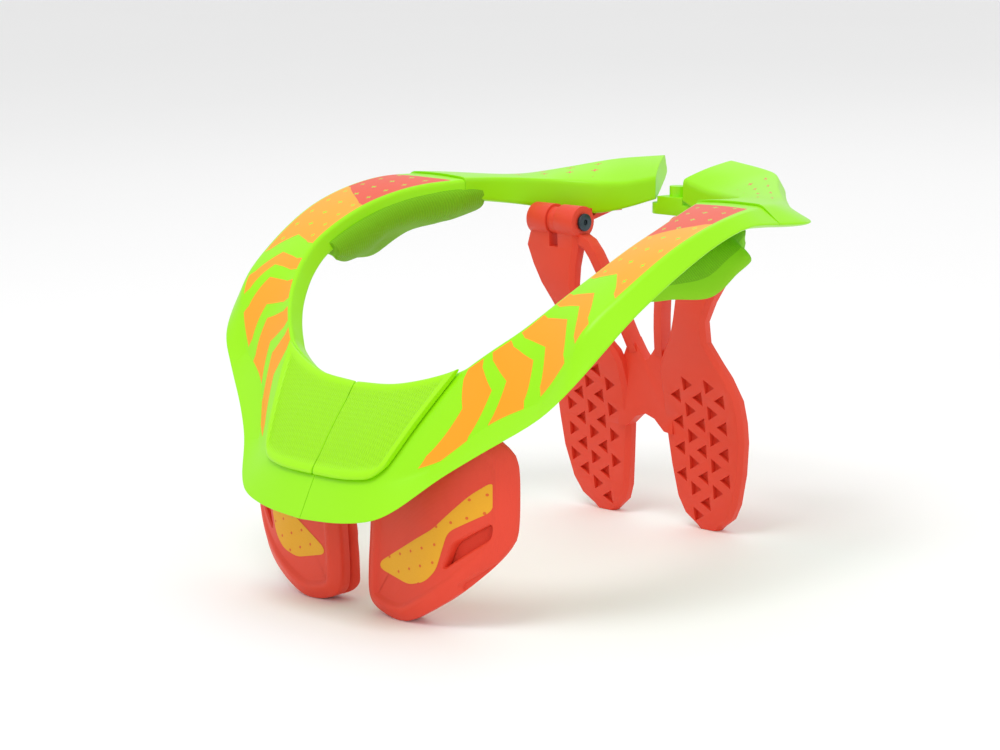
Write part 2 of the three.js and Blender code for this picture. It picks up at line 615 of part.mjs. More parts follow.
function wingsSolid() {
  const rings = [...WING_SECTIONS].reverse().map(wingRing);
  const from = FORK_OUTER - FORK_WIDTH;
  const knuckle = solidOf(cylinderAlongX(FORK_RADIUS, from, FORK_OUTER, PIVOT_BACK, PIVOT_HEIGHT, 28));
  let side = solidOf(loft(rings)).add(knuckle).add(strutSolid());
  for (const pocket of pocketSolids()) side = side.subtract(pocket);
  const slotHeight = SLOT_DEPTH + FORK_RADIUS + 4;
  const slotMiddle = PIVOT_HEIGHT - SLOT_DEPTH + slotHeight / 2;
  const slot = boxSolid(SLOT_WIDTH, 60, slotHeight, FORK_MIDDLE, PIVOT_BACK, slotMiddle);
  const boreRadius = BOLT_RADIUS + BORE_CLEARANCE;
  const bore = solidOf(cylinderAlongX(boreRadius, from - 5, FORK_OUTER + 5, PIVOT_BACK, PIVOT_HEIGHT, 14));
  const headRoom = solidOf(cylinderAlongX(BOLT_HEAD_RADIUS + 0.8, 0, from, PIVOT_BACK, PIVOT_HEIGHT, 20));
  side = side.subtract(slot).subtract(bore).subtract(headRoom);
  const outline = BRIDGE_OUTLINE.map(([x, z]) => [(x * WING_SPAN) / 2, z * WING_HEIGHT]);
  const otherSide = outline.slice(1, -1).reverse().map(([x, z]) => [-x, z]);
  const shape = new THREE.Shape([...outline, ...otherSide].map(([x, z]) => new THREE.Vector2(x, z)));
  const bridge = new THREE.ExtrudeGeometry(shape, { depth: BRIDGE_THICKNESS, bevelEnabled: false });
  bridge.rotateX(Math.PI / 2).translate(0, BRIDGE_BACK * COLLAR_LENGTH + BRIDGE_THICKNESS / 2, 0);
  return mainBody(solidOf(bridge).add(side).add(side.mirror([1, 0, 0])).subtract(floorBlock()));
}

// The bracket under the deck that holds a fork: a tongue in the fork's slot and a foot below the deck.
function wingBracketSolid(deck) {
  const radius = FORK_RADIUS - 1;
  const top = COLLAR_HEIGHT * 0.9;
  const outline = new THREE.Shape();
  outline.absarc(PIVOT_BACK, PIVOT_HEIGHT, radius, 0.6 * Math.PI, 1.7 * Math.PI, false);
  outline.lineTo(FOOT_BACK + FOOT_LENGTH, PIVOT_HEIGHT + 2);
  outline.lineTo(FOOT_BACK + FOOT_LENGTH, top);
  outline.lineTo(FOOT_BACK, top);
  outline.lineTo(FOOT_BACK, PIVOT_HEIGHT + 4);
  outline.closePath();
  const tongue = new THREE.ExtrudeGeometry(outline, { depth: TONGUE_THICKNESS, bevelEnabled: false, curveSegments: 14 });
  tongue.rotateX(Math.PI / 2).rotateZ(Math.PI / 2).translate(FORK_MIDDLE - TONGUE_THICKNESS / 2, 0, 0);
  const foot = boxSolid(FOOT_WIDTH, FOOT_LENGTH, 15, FORK_MIDDLE, FOOT_BACK + FOOT_LENGTH / 2, PIVOT_HEIGHT + 3 + 7.5);
  const boreRadius = BOLT_RADIUS + BORE_CLEARANCE;
  const bore = solidOf(cylinderAlongX(boreRadius, 0, WING_SPAN, PIVOT_BACK, PIVOT_HEIGHT, 14));
  const above = deck.add(deck.translate([0, 0, -JOINT_GAP])).add(deck.translate([0, 0, 3]));
  const pieces = solidOf(tongue).add(foot).subtract(bore).subtract(above).decompose();
  pieces.sort((a, b) => a.boundingBox().min[2] - b.boundingBox().min[2]);
  return pieces[0];
}

// A bolt through a fork, with a round head and a socket in its inner end.
function boltSolid() {
  const from = FORK_OUTER - FORK_WIDTH;
  const headStart = from - JOINT_GAP - BOLT_HEAD_HEIGHT;
  const shank = solidOf(cylinderAlongX(BOLT_RADIUS, headStart, FORK_OUTER - 1, PIVOT_BACK, PIVOT_HEIGHT, 14));
  const head = solidOf(cylinderAlongX(BOLT_HEAD_RADIUS, headStart, from - JOINT_GAP, PIVOT_BACK, PIVOT_HEIGHT, 20));
  const socket = cylinderAlongX(BOLT_SOCKET_RADIUS, headStart - 1, headStart + 1.2, PIVOT_BACK, PIVOT_HEIGHT, 6);
  return shank.add(head).subtract(solidOf(socket));
}

function hubSolid() {
  const y = HUB_BACK + HUB_LENGTH / 2;
  const block = boxSolid(HUB_WIDTH, HUB_LENGTH, HUB_HEIGHT, 0, y, HUB_BASE + HUB_HEIGHT / 2);
  const outline = new THREE.Shape();
  const radius = HUB_LENGTH / 2;
  const reach = HUB_FLANGE_WIDTH / 2 - radius;
  outline.absarc(reach, 0, radius, -Math.PI / 2, Math.PI / 2, false);
  outline.absarc(-reach, 0, radius, Math.PI / 2, 1.5 * Math.PI, false);
  outline.closePath();
  const flange = new THREE.ExtrudeGeometry(outline, { depth: HUB_FLANGE_HEIGHT, bevelEnabled: false, curveSegments: 8 });
  const knob = new THREE.CylinderGeometry(HUB_KNOB_RADIUS, HUB_KNOB_RADIUS, HUB_KNOB_HEIGHT + 1, 18);
  knob.rotateX(Math.PI / 2).translate(0, y, HUB_BASE + HUB_HEIGHT + (HUB_KNOB_HEIGHT - 1) / 2);
  return block.add(solidOf(flange.translate(0, y, HUB_BASE))).add(solidOf(knob));
}

const brace = new THREE.Group();

function addPiece(name, geometry, material) {
  const mesh = new THREE.Mesh(geometry, material);
  mesh.name = name;
  brace.add(mesh);
}

function addPair(name, geometry, material) {
  addPiece("left_" + name, geometry, material);
  addPiece("right_" + name, mirrored(geometry), material);
}

const armCurves = collarCurves(ARM_SECTIONS);
const deckCurves = collarCurves(DECK_SECTIONS);
const arm = solidOf(armGeometry(armCurves));
const deck = deckSolid(deckCurves);
const plate = chestShellSolid();
const liner = chestLinerSolid();
const floor = floorBlock();
let armBelow = arm.add(arm.translate([0, 0, -2 * JOINT_GAP]));
for (let rise = SWEEP_STEP; rise < CHEST_HEIGHT / 2; rise += SWEEP_STEP) armBelow = armBelow.add(arm.translate([0, 0, rise]));
const trimmedPlate = mainBody(plate.subtract(armBelow).subtract(floor));
const trimmedLiner = mainBody(liner.subtract(armBelow).subtract(floor));
const padHole = arm.add(arm.translate([-JOINT_GAP, 0, -JOINT_GAP])).add(deck).add(deck.translate([-JOINT_GAP, -JOINT_GAP, -JOINT_GAP]));
const pad = mainBody(shoulderPadGeometry(armCurves, deckCurves).subtract(padHole));

addPair("arm", geometryOf(arm), GREEN);
addPair("deck", geometryOf(deck), GREEN);
addPair("insert", geometryOf(mainBody(insertGeometry(armCurves).subtract(arm))), LIME);
addPair("shoulder_pad", geometryOf(pad), PAD_GREEN);
addPair("chest_plate", geometryOf(trimmedPlate), RED);
addPair("chest_liner", geometryOf(trimmedLiner), LINER_RED);
addPiece("wings", geometryOf(wingsSolid()), RED);
addPair("wing_bracket", geometryOf(wingBracketSolid(deck)), RED);
addPair("wing_bolt", geometryOf(boltSolid()), STEEL);
addPiece("hub", geometryOf(hubSolid()), GREEN);

brace.rotation.x = -THREE.MathUtils.degToRad(STANCE_PITCH);
brace.position.z = STANCE_LIFT;

const stand = new THREE.Group();
stand.add(brace);
stand.updateMatrixWorld(true);
const reach = new THREE.Box3().setFromObject(stand, true);
brace.position.y -= (reach.min.y + reach.max.y) / 2;

export default stand;
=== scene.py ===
"""Sets up the motocross neck brace for rendering: smooth shells, padded liners, printed bands and a studio floor.
"""

import math

import bmesh
import bpy
import numpy as np
from mathutils import Matrix, Vector
from mathutils.bvhtree import BVHTree


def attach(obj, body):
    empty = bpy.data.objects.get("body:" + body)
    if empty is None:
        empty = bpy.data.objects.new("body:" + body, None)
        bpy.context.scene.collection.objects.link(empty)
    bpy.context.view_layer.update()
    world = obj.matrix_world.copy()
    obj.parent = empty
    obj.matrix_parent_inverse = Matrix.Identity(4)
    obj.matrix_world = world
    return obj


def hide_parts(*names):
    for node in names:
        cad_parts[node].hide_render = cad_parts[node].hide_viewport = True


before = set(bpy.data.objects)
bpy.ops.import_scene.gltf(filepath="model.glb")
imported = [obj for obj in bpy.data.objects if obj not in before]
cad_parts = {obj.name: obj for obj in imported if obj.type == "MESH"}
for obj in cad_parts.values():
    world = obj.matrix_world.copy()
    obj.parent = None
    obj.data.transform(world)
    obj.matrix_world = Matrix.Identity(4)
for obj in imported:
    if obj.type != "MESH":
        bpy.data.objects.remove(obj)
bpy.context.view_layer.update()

MM = 0.001
TURN = 2 * math.pi
UP = np.array([0.0, 0.0, 1.0])

# How the collar leans back, and how far it is lifted and moved, to stand on the part's feet
STANCE_PITCH = math.radians(2.67)
STANCE_LIFT = 6.4
STANCE_BACK = -138.886
# The collar's half width, length and height
COLLAR = np.array([127.0, 268.0, 184.0])
# How deep the wall round the neck is, the gap between two pieces, and how far the deck stands above the arm
WALL_DEPTH = 11.0
JOINT_GAP = 0.3
DECK_STEP = 1.1

# The photograph's camera, in the collar's frame
CAMERA_POINT = (912.0, -782.2, 306.3)
CAMERA_AZIMUTH = math.radians(45.13)
CAMERA_ELEVATION = math.radians(9.5)
CAMERA_LENS = 100.04
SENSOR = 36.0
FAR_CLIP = 20.0


def placed(points):
    """Points of the collar's own frame, in millimetres, as points of the part's frame, in metres."""
    points = np.asarray(points, dtype=float)
    sine, cosine = math.sin(STANCE_PITCH), math.cos(STANCE_PITCH)
    x, y, z = points[..., 0], points[..., 1], points[..., 2]
    back = y * cosine + z * sine + STANCE_BACK
    high = z * cosine - y * sine + STANCE_LIFT
    return np.stack([x, back, high], axis=-1) * MM


def linked(name, data):
    """A new object in the scene that shows the given data."""
    made = bpy.data.objects.new(name, data)
    bpy.context.scene.collection.objects.link(made)
    return made


def make_camera():
    data = bpy.data.cameras.new("camera")
    data.lens = CAMERA_LENS
    data.sensor_width = SENSOR
    data.clip_end = FAR_CLIP
    camera = linked("camera", data)
    look = Matrix.Rotation(CAMERA_AZIMUTH, 3, "Z") @ Matrix.Rotation(math.pi / 2 - CAMERA_ELEVATION, 3, "X")
    turned = Matrix.Rotation(-STANCE_PITCH, 3, "X") @ look
    camera.matrix_world = Matrix.Translation(Vector(placed(CAMERA_POINT))) @ turned.to_4x4()
    bpy.context.scene.camera = camera
    bpy.context.scene.view_settings.view_transform = "Standard"


# Materials


class Value:
    """A number that changes over a surface. Operators join it to others."""

    def __init__(self, shader, socket):
        self.shader = shader
        self.socket = socket

    def __add__(self, other):
        return self.shader.math("ADD", self, other)

    def __sub__(self, other):
        return self.shader.math("SUBTRACT", self, other)

    def __rsub__(self, other):
        return self.shader.math("SUBTRACT", other, self)

    def __mul__(self, other):
        return self.shader.math("MULTIPLY", self, other)

    def __truediv__(self, other):
        return self.shader.math("DIVIDE", self, other)

    def __gt__(self, other):
        return self.shader.math("GREATER_THAN", self, other)

    def __lt__(self, other):
        return self.shader.math("LESS_THAN", self, other)

    __radd__ = __add__
    __rmul__ = __mul__

    def fraction(self):
        return self.shader.math("FRACT", self)

    def floor(self):
        return self.shader.math("FLOOR", self)

    def size(self):
        return self.shader.math("ABSOLUTE", self)

    def least(self, other):
        return self.shader.math("MINIMUM", self, other)

    def most(self, other):
        return self.shader.math("MAXIMUM", self, other)

    def between(self, low, high):
        """A mask of where the number lies between two limits."""
        return (self > low) * (self < high)

    def spread(self, low, high):
        """The number laid out from low, where it is 0, to high, where it is 1."""
        return self * (high - low) + low

    def swing(self, pitch):
        """A wave from -1 to 1 that comes back at each pitch."""
        return self.shader.math("SINE", self * (TURN / pitch))

    def wave(self, pitch):
        """A wave from 0 to 1 that comes back at each pitch."""
        return self.swing(pitch) * 0.5 + 0.5


class Shader:
    """A material with one Principled surface."""

    COAT_ROUGHNESS = 0.25
    SPECULAR = 0.3

    def __init__(self, name, metallic=0.0, coat=0.0):
        self.material = bpy.data.materials.new(name)
        self.material.use_nodes = True
        self.tree = self.material.node_tree
        self.surface = self.tree.nodes["Principled BSDF"]
        self.surface.inputs["Metallic"].default_value = metallic
        self.surface.inputs["Coat Weight"].default_value = coat
        self.surface.inputs["Coat Roughness"].default_value = self.COAT_ROUGHNESS
        self.surface.inputs["Specular IOR Level"].default_value = self.SPECULAR
        self.point = self.node("ShaderNodeTexCoord").outputs["Object"]

    def feed(self, socket, value):
        if isinstance(value, Value):
            value = value.socket
        if isinstance(value, bpy.types.NodeSocket):
            self.tree.links.new(value, socket)
        else:
            socket.default_value = value

    def node(self, kind, sockets=None, **settings):
        """A new node with its settings, and then the values or links of its sockets, by name or number."""
        made = self.tree.nodes.new(kind)
        for key, value in settings.items():
            setattr(made, key, value)
        for key, value in (sockets or {}).items():
            self.feed(made.inputs[key], value)
        return made

    def math(self, operation, *values):
        made = self.node("ShaderNodeMath", dict(enumerate(values)), operation=operation)
        return Value(self, made.outputs[0])

    def axes(self):
        split = self.node("ShaderNodeSeparateXYZ", {0: self.point})
        return [Value(self, output) for output in split.outputs]

    def attribute(self, name):
        return Value(self, self.node("ShaderNodeAttribute", attribute_name=name).outputs["Fac"])

    def noise(self, scale, detail=3.0, roughness=0.55):
        sockets = {"Vector": self.point, "Scale": scale, "Detail": detail, "Roughness": roughness}
        return Value(self, self.node("ShaderNodeTexNoise", sockets).outputs["Fac"])

    def grain(self):
        """Fine grain of a moulded surface."""
        return self.noise(900.0, detail=2.0)

    def mix(self, share, first, second):
        made = self.node("ShaderNodeMix", data_type="RGBA")
        for number, value in ((0, share), (6, first), (7, second)):
            self.feed(made.inputs[number], value)
        return made.outputs[2]

    def clouds(self, scale, first, second, share=1.0):
        """Noise, and a colour that drifts with it from the first towards the second."""
        cloud = self.noise(scale)
        return cloud, self.mix(cloud * share, first, second)

    def finish(self, colour, roughness, height=None, depth=0.5, strength=0.5):
        """Sets the surface, with a bump whose depth is in millimetres where a height is given."""
        self.feed(self.surface.inputs["Base Color"], colour)
        self.feed(self.surface.inputs["Roughness"], roughness)
        if height is not None:
            sockets = {"Strength": strength, "Distance": depth * MM, "Height": height}
            self.feed(self.surface.inputs["Normal"], self.node("ShaderNodeBump", sockets).outputs[0])
        return self.material


def linear(code):
    """An sRGB colour code such as 0xA4FF00 as linear red, green, blue and alpha."""
    parts = [((code >> shift) & 255) / 255 for shift in (16, 8, 0)]
    return tuple(p / 12.92 if p <= 0.04045 else ((p + 0.055) / 1.055) ** 2.4 for p in parts) + (1.0,)


LIME = linear(0x96E602)
LIME_PALE = linear(0xA0EE0A)
INSERT = linear(0xA4EE06)
PAD = linear(0x80C402)
PAD_DARK = linear(0x70B000)
# The pad's rim is painted a lighter green than its face: a painted highlight, for the lit rim below a face in the
# arm's shade
PAD_RIM_HIGHLIGHT = linear(0x88CC06)
RED = linear(0xEC4A32)
RED_DARK = linear(0xDC3C26)
YELLOW = linear(0xE8A418)
YELLOW_PALE = linear(0xF0B02A)
ORANGE = linear(0xFAA018)
ORANGE_PALE = linear(0xFAAA34)
CORAL = linear(0xE45A44)
STEEL = linear(0x2A3438)
STEEL_PALE = linear(0x55626A)
FLOOR_GREYS = ((0.93, 0.93, 0.93, 1), (0.95, 0.95, 0.95, 1))

# Where the prints lie, in millimetres along a top face from its start. CHEVRON_SHARE is the coloured share of a
# pitch, and the chevrons' ends lie half of CHEVRON_BEND nearer the start than their points. A slant is how much
# further on a print starts or ends at the ridge than at the inner edge.
CHEVRON_PITCH = 23.0
CHEVRON_SHARE = 0.66
CHEVRON_BEND = 22.0
CHEVRONS = (69.0, 147.0)
BAND_START = 161.0
BAND_END = 246.0
BAND_END_SLANT = -8.0
CORAL_START = 194.0
CORAL_SLANT = 16.0
FADE_START = 90.0
FADE_LENGTH = 90.0
ARM_MARKS_START = 158.0
DECK_MARKS = (38.0, 92.0)
# How wide the top faces are taken to be for the marks, and which share of them may be printed
ARM_FACE = 34.0
DECK_FACE = 40.0
ARM_PRINTED = (0.05, 0.95)
DECK_PRINTED = (0.2, 0.85)

# Pitches in metres of the insert's ribs, the pads' cloth, the red plastic's weave and the panels' dots. The rows of
# dots slant by DOT_SLANT, and DOT_SIZE is the square of a dot's radius in pitches.
INSERT_RIBS = 0.00125
INSERT_CROSS_RIBS = 0.0016
PAD_RIBS = 0.0014
PAD_CROSS_RIBS = 0.0018
WEAVE = 0.0011
DOT_PITCH = 0.0078
DOT_SLANT = 0.35
DOT_SIZE = 0.0085


def plus_marks(along, across, pitch, arm, line):
    """A mask of small plus marks on a square grid, in the units of the two coordinates."""
    near = (((along / pitch).fraction() - 0.5) * pitch).size()
    beside = (((across / pitch).fraction() - 0.5) * pitch).size()
    level = (near < arm) * (beside < line)
    upright = (near < line) * (beside < arm)
    return level.most(upright)


def lime_shell(name):
    """The lime plastic's shader, its clouds and its colour."""
    shader = Shader(name, coat=0.06)
    return shader, *shader.clouds(14.0, LIME, LIME_PALE, share=0.6)


def plain_shell():
    shader, cloud, colour = lime_shell("shell")
    return shader.finish(colour, cloud.spread(0.3, 0.42), shader.grain(), depth=0.06, strength=0.35)


def band_shell():
    """The arms' shell, with chevrons and a two-colour band printed on its top face."""
    shader, cloud, base = lime_shell("shell_band")
    run = shader.attribute("run")
    across = shader.attribute("across")
    face = (shader.attribute("top") > 0.5) * across.between(*ARM_PRINTED)
    ahead = run + (across - 0.5).size() * CHEVRON_BEND
    chevron = ((ahead / CHEVRON_PITCH).fraction() < CHEVRON_SHARE) * ahead.between(*CHEVRONS)
    band = (ahead > BAND_START) * ((run - across * BAND_END_SLANT) < BAND_END)
    coral = (run - across * CORAL_SLANT) > CORAL_START
    marks = plus_marks(run, across * ARM_FACE, pitch=11.0, arm=1.5, line=0.32) * (run > ARM_MARKS_START)
    printed = face * chevron.most(band) * (1.0 - marks)
    fade = ((run - FADE_START) / FADE_LENGTH).most(0.0).least(1.0)
    print_colour = shader.mix(coral, shader.mix(fade, ORANGE, ORANGE_PALE), CORAL)
    colour = shader.mix(printed, base, print_colour)
    roughness = cloud.spread(0.3, 0.4) + printed * 0.12
    height = shader.grain() * 0.5 + printed * 0.4
    return shader.finish(colour, roughness, height, depth=0.08, strength=0.35)


def deck_shell():
    """The decks' shell, with small coral marks on its top face."""
    shader, cloud, base = lime_shell("shell_deck")
    run = shader.attribute("run")
    across = shader.attribute("across")
    face = (shader.attribute("top") > 0.5) * across.between(*DECK_PRINTED) * run.between(*DECK_MARKS)
    marks = plus_marks(run, across * DECK_FACE, pitch=13.0, arm=1.9, line=0.45)
    colour = shader.mix(face * marks, base, CORAL)
    return shader.finish(colour, cloud.spread(0.3, 0.42), shader.grain(), depth=0.06, strength=0.35)


def ribbed_insert():
    shader = Shader("insert_ribs", coat=0.05)
    x, y, _ = shader.axes()
    field = shader.attribute("field")
    ribs = x.wave(INSERT_RIBS)
    weave = ribs * 0.75 + ribs * y.wave(INSERT_CROSS_RIBS) * 0.25
    cloud, colour = shader.clouds(20.0, INSERT, LIME, share=0.4)
    colour = shader.mix(field * weave * 0.25, colour, PAD)
    return shader.finish(colour, field.spread(0.36, 0.54), field * weave, depth=0.4, strength=0.8)


def pad_fabric():
    shader = Shader("pad_fabric")
    x, y, z = shader.axes()
    ribs = (y + z * 0.5).wave(PAD_RIBS)
    weave = ribs * 0.7 + ribs * (x + z * 0.5).wave(PAD_CROSS_RIBS) * 0.3
    cloud = shader.noise(30.0)
    rim = shader.attribute("rim") > 0.5
    colour = shader.mix(weave * 0.5 + cloud * 0.3, PAD_DARK, PAD)
    # The rim takes the lighter green: a painted highlight
    colour = shader.mix(rim, colour, PAD_RIM_HIGHLIGHT)
    return shader.finish(colour, cloud.spread(0.62, 0.77), weave * (1.0 - rim), depth=0.3, strength=0.6)


def liner_foam():
    shader = Shader("liner_foam")
    cloud, colour = shader.clouds(40.0, RED_DARK, RED, share=0.7)
    pores = shader.noise(2200.0, detail=1.0)
    return shader.finish(colour, cloud.spread(0.6, 0.75), pores, depth=0.25, strength=0.5)


def red_plastic():
    """The plates' and wings' red plastic, which shows a faint diagonal weave."""
    shader = Shader("red_plastic", coat=0.08)
    x, _, z = shader.axes()
    threads = (x + z).swing(WEAVE) * (x - z).swing(WEAVE)
    cloud, colour = shader.clouds(18.0, RED, RED_DARK, share=0.8)
    height = threads * 0.5 + shader.grain() * 0.5
    return shader.finish(colour, cloud.spread(0.4, 0.55), height, depth=0.12, strength=0.5)


def yellow_panel():
    """The printed panel on a chest plate, with staggered rows of small sunken dots."""
    shader = Shader("yellow_panel")
    x, _, z = shader.axes()
    across = (x + z * DOT_SLANT) / DOT_PITCH
    up = (z - x * DOT_SLANT) / DOT_PITCH
    aside = (up.floor() * 0.5 + across).fraction() - 0.5
    above = up.fraction() - 0.5
    dots = (aside * aside + above * above) < DOT_SIZE
    cloud, colour = shader.clouds(25.0, YELLOW, YELLOW_PALE)
    colour = shader.mix(dots * 0.75, colour, RED_DARK)
    return shader.finish(colour, cloud.spread(0.45, 0.6), shader.grain() - dots, depth=0.2, strength=0.5)


def dark_steel():
    shader = Shader("dark_steel", metallic=0.85)
    cloud, colour = shader.clouds(300.0, STEEL, STEEL_PALE)
    return shader.finish(colour, cloud.spread(0.28, 0.48), cloud, depth=0.05, strength=0.3)


# Meshes

# The ends' crease, how near points are merged in metres, the rounding of edges, and the cloth simulation
END_CREASE = 0.9
MERGE_DISTANCE = 1e-5
BEVEL_SEGMENTS = 3
BEVEL_FROM = math.radians(28)
CLOTH_FRAMES = 20
CLOTH_QUALITY = 5


def new_piece(name, points, faces, material, attributes=None):
    """A smooth piece whose faces point outwards. Each attribute holds a number for each point."""
    mesh = bpy.data.meshes.new(name)
    mesh.from_pydata([tuple(p) for p in points], [], faces)
    for key, values in (attributes or {}).items():
        layer = mesh.attributes.new(key, "FLOAT", "POINT")
        layer.data.foreach_set("value", np.asarray(values, dtype=np.float32))
    mesh.materials.append(material)
    mesh.shade_smooth()
    work = bmesh.new()
    work.from_mesh(mesh)
    bmesh.ops.recalc_face_normals(work, faces=work.faces)
    work.to_mesh(mesh)
    work.free()
    return linked(name, mesh)


def ring_faces(rows, count):
    """Faces of a loft whose rows have count points each, closed at both ends."""
    faces = []
    for start in range(0, (rows - 1) * count, count):
        for column in range(count):
            after = (column + 1) % count
            faces.append((start + column, start + after, start + count + after, start + count + column))
    faces.append(tuple(range(count)))
    faces.append(tuple(reversed(range((rows - 1) * count, rows * count))))
    return faces


def crease_ends(piece, rows, count):
    """Keeps the first and last ring of a loft sharp when it is subdivided."""
    mesh = piece.data
    crease = mesh.attributes.new("crease_edge", "FLOAT", "EDGE")
    ends = (0, rows - 1)
    values = []
    for edge in mesh.edges:
        first, second = (v // count for v in edge.vertices)
        values.append(END_CREASE if first == second and first in ends else 0.0)
    crease.data.foreach_set("value", values)


def smoothed(piece, levels):
    subdivision = piece.modifiers.new("smooth", "SUBSURF")
    subdivision.levels = levels
    subdivision.render_levels = levels


def copied(name, node, material, flat=None):
    """A copy of a solid's mesh with doubled points merged, and faces within a flat angle joined."""
    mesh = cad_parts[node].data.copy()
    mesh.materials.clear()
    mesh.materials.append(material)
    work = bmesh.new()
    work.from_mesh(mesh)
    bmesh.ops.remove_doubles(work, verts=work.verts, dist=MERGE_DISTANCE)
    if flat is not None:
        bmesh.ops.dissolve_limit(work, angle_limit=math.radians(flat), verts=work.verts, edges=work.edges)
    work.to_mesh(mesh)
    work.free()
    return linked(name, mesh)


def kept_result(piece):
    """The piece's mesh becomes what its modifiers make of it, and they are removed."""
    mesh = bpy.data.meshes.new_from_object(piece.evaluated_get(bpy.context.evaluated_depsgraph_get()))
    piece.modifiers.clear()
    piece.data = mesh


def dressed(node, material, width, body="root", flat=3.0):
    """Stands in for a hard solid, with its edges rounded to a width in millimetres."""
    piece = copied(node + "_skin", node, material, flat)
    piece.data.shade_smooth()
    bevel = piece.modifiers.new("round_edges", "BEVEL")
    bevel.width = width * MM
    bevel.segments = BEVEL_SEGMENTS
    bevel.limit_method = "ANGLE"
    bevel.angle_limit = BEVEL_FROM
    bevel.harden_normals = True
    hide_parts(node)
    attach(piece, body)


def swollen(piece, node, pressure, cap):
    """Swells a soft piece with a short cloth simulation, by no more than a cap in millimetres."""
    mesh = piece.data
    start = np.empty(len(mesh.vertices) * 3)
    mesh.vertices.foreach_get("co", start)
    cloth = piece.modifiers.new("swell", "CLOTH")
    cloth.settings.use_pressure = True
    cloth.settings.uniform_pressure_force = pressure
    cloth.settings.effector_weights.gravity = 0
    cloth.settings.quality = CLOTH_QUALITY
    cloth.point_cache.frame_start = 1
    cloth.point_cache.frame_end = CLOTH_FRAMES
    for step in range(1, CLOTH_FRAMES + 1):
        bpy.context.scene.frame_set(step)
    shown = piece.evaluated_get(bpy.context.evaluated_depsgraph_get()).to_mesh()
    reached = np.empty(len(start))
    shown.vertices.foreach_get("co", reached)
    piece.modifiers.remove(cloth)
    bpy.context.scene.frame_set(1)
    moved = (reached - start).reshape(-1, 3)
    far = np.linalg.norm(moved, axis=1, keepdims=True)
    moved *= np.minimum(1.0, cap * MM / np.maximum(far, 1e-9))
    mesh.vertices.foreach_set("co", start + moved.ravel())
    mesh.update()
    even = piece.modifiers.new("even", "SMOOTH")
    even.factor = 0.5
    even.iterations = 3
    smoothed(piece, 1)
    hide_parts(node)
    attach(piece, "root")


# The collar: arms, decks and front inserts

# Each row has the inner edge, the ridge and the skirt, as shares of the collar's half width, length and
# height, then how far the wall leans in degrees, and then how many times as deep as WALL_DEPTH it is, if not once.
ARM_ROWS = [
    ((0, 0.14, 0.534), (0, 0.035, 0.319), (0, 0, 0.217), 50),
    ((0.213, 0.144, 0.545), (0.173, 0.037, 0.322), (0.205, 0.006, 0.226), 50),
    ((0.441, 0.176, 0.595), (0.299, 0.053, 0.335), (0.37, 0.024, 0.253), 52),
    ((0.484, 0.187, 0.62), (0.465, 0.104, 0.372), (0.516, 0.087, 0.352), 54),
    ((0.535, 0.204, 0.651), (0.606, 0.157, 0.446), (0.647, 0.129, 0.422), 56),
    ((0.594, 0.231, 0.689), (0.764, 0.197, 0.535), (0.809, 0.173, 0.502), 57),
    ((0.642, 0.263, 0.731), (0.846, 0.216, 0.625), (0.903, 0.199, 0.573), 56),
    ((0.679, 0.297, 0.77), (0.887, 0.239, 0.707), (0.955, 0.248, 0.654), 50),
    ((0.713, 0.347, 0.817), (0.926, 0.31, 0.788), (0.984, 0.306, 0.732), 42),
    ((0.724, 0.426, 0.871), (0.952, 0.414, 0.877), (1, 0.414, 0.826), 28),
    ((0.717, 0.498, 0.907), (0.954, 0.503, 0.923), (1, 0.504, 0.884), 16),
    ((0.673, 0.579, 0.935), (0.939, 0.593, 0.948), (0.996, 0.586, 0.915), 6),
    ((0.598, 0.66, 0.947), (0.902, 0.66, 0.951), (0.992, 0.662, 0.91), 0),
]
DECK_ROWS = [
    ((0.598, 0.66, 0.947), (0.902, 0.66, 0.951), (0.992, 0.662, 0.91), 0),
    ((0.594, 0.731, 0.941), (0.874, 0.716, 0.946), (0.992, 0.75, 0.905), 0, 1.1),
    ((0.539, 0.8, 0.934), (0.695, 0.838, 0.935), (0.732, 0.847, 0.908), 0, 1.25),
    ((0.449, 0.851, 0.926), (0.559, 0.901, 0.954), (0.587, 0.912, 0.924), 0, 1.45),
    ((0.331, 0.881, 0.923), (0.437, 0.966, 0.976), (0.457, 0.978, 0.94), 0, 1.45),
    ((0.213, 0.896, 0.927), (0.367, 0.978, 0.984), (0.378, 0.989, 0.946), 0, 1.2),
    ((0.071, 0.909, 0.948), (0.177, 0.991, 0.998), (0.18, 1, 0.957), 0),
]
ARM_STEPS = 36
DECK_STEPS = 20
# Where the rings beside the two end rings lie, in steps from the end
END_RING = 0.12
SHELL_LEVELS = 3

# How far the top face bulges, and where the skirt's hem lies: as a share of the way in, and then lower
CROWN = 1.4
HEM_IN = 0.16
HEM_DROP = 1.2
# Points of a section: shares of the way across the top face, down the skirt and, after two more points at the
# hem and beside the wall's foot, up the wall
TOP_SHARES = (0.03, 0.1, 0.5, 0.9, 0.97)
SKIRT_SHARES = (0.07, 0.22, 0.85, 1.0)
WALL_SHARES = (1.0, 0.8, 0.3, 0.08)
SECTION_ACROSS = TOP_SHARES + (1.0,) * len(SKIRT_SHARES) + (1.0, 0.5) + (0.0,) * len(WALL_SHARES)
SECTION_TOP = (1,) * len(TOP_SHARES) + (0,) * (len(SECTION_ACROSS) - len(TOP_SHARES))

# The insert ends at this share of the arm. Its rings are at shares of its own length.
INSERT_END = 2 / 12
INSERT_RINGS = (0, 0.01, 0.15, 0.3, 0.45, 0.6, 0.72, 0.8, 0.86, 0.89, 0.915, 0.94, 0.97, 0.99, 1.0)
INSERT_LEVELS = 2
# Heights above the arm's face: the rim, the ribbed field, the upright edge and the underside
INSERT_RIM = 2.9
INSERT_FIELD = 2.1
INSERT_EDGE = 2.0
INSERT_UNDER = 0.4
